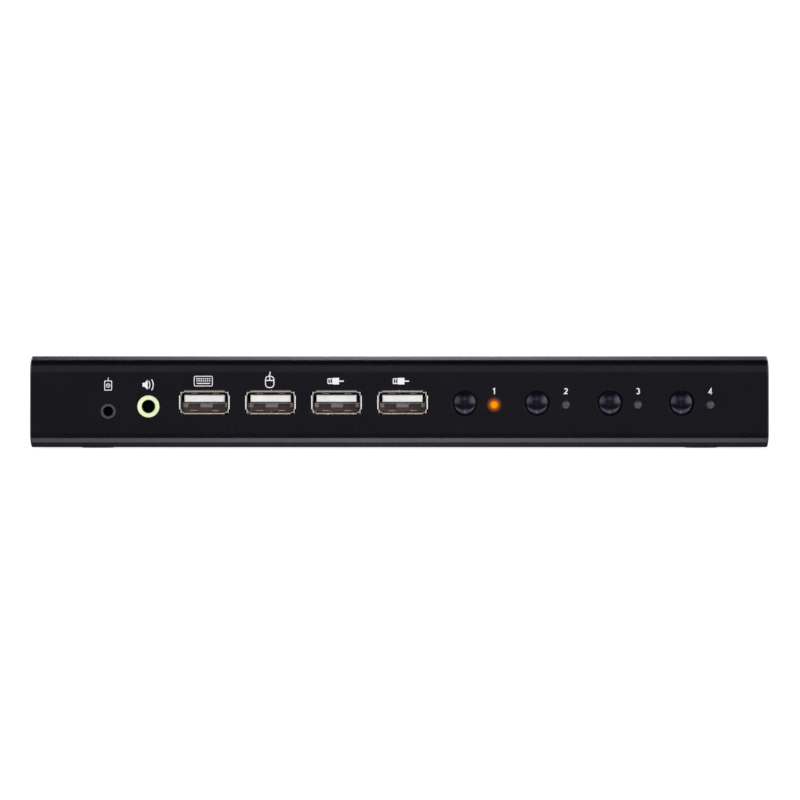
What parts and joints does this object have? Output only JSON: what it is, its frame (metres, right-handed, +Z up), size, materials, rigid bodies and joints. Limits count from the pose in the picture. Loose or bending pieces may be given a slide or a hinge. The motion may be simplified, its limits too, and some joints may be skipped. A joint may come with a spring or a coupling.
{
  "type": "kvm switch",
  "caption": "Slim desktop KVM switch: front panel with sockets, domed select buttons and indicators; rear video, USB and power sockets.",
  "frame": {"origin": "centre of the footprint box on the surface the feet stand on", "axes": "+Z up; the front panel with its buttons faces -Y; +X is to the right seen from the front"},
  "size_m": [0.202, 0.09, 0.0253],
  "materials": {
    "bezel_plastic": "black moulded plastic, fine satin texture",
    "painted_steel": "black powder coat",
    "foot_rubber": "matt black rubber",
    "black_screw": "black oxide",
    "zinc_screw": "zinc plated",
    "standoff_brass": "turned brass",
    "board_green": "green solder mask",
    "lime_collar": "pale lime moulding",
    "dark_collar": "dark grey moulding",
    "socket_black": "black moulding",
    "contact_gold": "gold plated contacts",
    "lead_tin": "tinned wire",
    "plated_shell": "nickel plated steel",
    "usb_a_insulator": "white moulding",
    "usb_b_insulator": "white moulding",
    "button_gloss": "gloss black",
    "plunger_white": "natural moulding",
    "led_lit": "lit orange lens",
    "led_dark": "unlit smoked lens",
    "chip_black": "epoxy package",
    "capacitor_can": "satin can",
    "coil_grey": "moulded ferrite"
  },
  "bodies": {
    "case": {"front_bezel": "bezel_plastic", "top_cover": "painted_steel", "base_plate": "painted_steel", "rear_panel": "painted_steel", "rubber_feet": "foot_rubber", "case_screws": "black_screw", "circuit_board": "board_green", "board_standoffs": "standoff_brass", "board_screws": "zinc_screw", "audio_jack_collar": "lime_collar", "audio_jack_housing": "socket_black", "remote_jack_collar": "dark_collar", "remote_jack_housing": "socket_black", "jack_contacts": "contact_gold", "led_holders": "socket_black", "led_leads": "lead_tin", "usb_a_contacts": "contact_gold", "video_shell_console": "plated_shell", "video_insulators": "socket_black", "usb_b_insulators": "usb_b_insulator", "usb_b_contacts": "contact_gold", "dc_jack_housing": "socket_black", "dc_jack_pin": "plated_shell", "controller_chips": "chip_black", "capacitors": "capacitor_can", "power_coils": "coil_grey", "crystals": "plated_shell", "usb_a_shell_1": "plated_shell", "usb_a_insulator_1": "usb_a_insulator", "tact_switch_1": "socket_black", "led_1": "led_lit", "video_shell_1": "plated_shell", "usb_b_shell_1": "plated_shell", "usb_a_shell_2": "plated_shell", "usb_a_insulator_2": "usb_a_insulator", "tact_switch_2": "socket_black", "led_2": "led_dark", "video_shell_2": "plated_shell", "usb_b_shell_2": "plated_shell", "usb_a_shell_3": "plated_shell", "usb_a_insulator_3": "usb_a_insulator", "tact_switch_3": "socket_black", "led_3": "led_dark", "video_shell_3": "plated_shell", "usb_b_shell_3": "plated_shell", "usb_a_shell_4": "plated_shell", "usb_a_insulator_4": "usb_a_insulator", "tact_switch_4": "socket_black", "led_4": "led_dark", "video_shell_4": "plated_shell", "usb_b_shell_4": "plated_shell"},
    "button_1": {"button_cap_1": "button_gloss", "switch_plunger_1": "plunger_white"},
    "button_2": {"button_cap_2": "button_gloss", "switch_plunger_2": "plunger_white"},
    "button_3": {"button_cap_3": "button_gloss", "switch_plunger_3": "plunger_white"},
    "button_4": {"button_cap_4": "button_gloss", "switch_plunger_4": "plunger_white"}
  },
  "joints": [
    {"name": "button_1_press", "type": "slide", "parent": "case", "child": "button_1", "axis": [0, 1, 0], "range_m": [0, 0.0005], "stiffness_N_per_m": 800},
    {"name": "button_2_press", "type": "slide", "parent": "case", "child": "button_2", "axis": [0, 1, 0], "range_m": [0, 0.0005], "stiffness_N_per_m": 800},
    {"name": "button_3_press", "type": "slide", "parent": "case", "child": "button_3", "axis": [0, 1, 0], "range_m": [0, 0.0005], "stiffness_N_per_m": 800},
    {"name": "button_4_press", "type": "slide", "parent": "case", "child": "button_4", "axis": [0, 1, 0], "range_m": [0, 0.0005], "stiffness_N_per_m": 800}
  ]
}
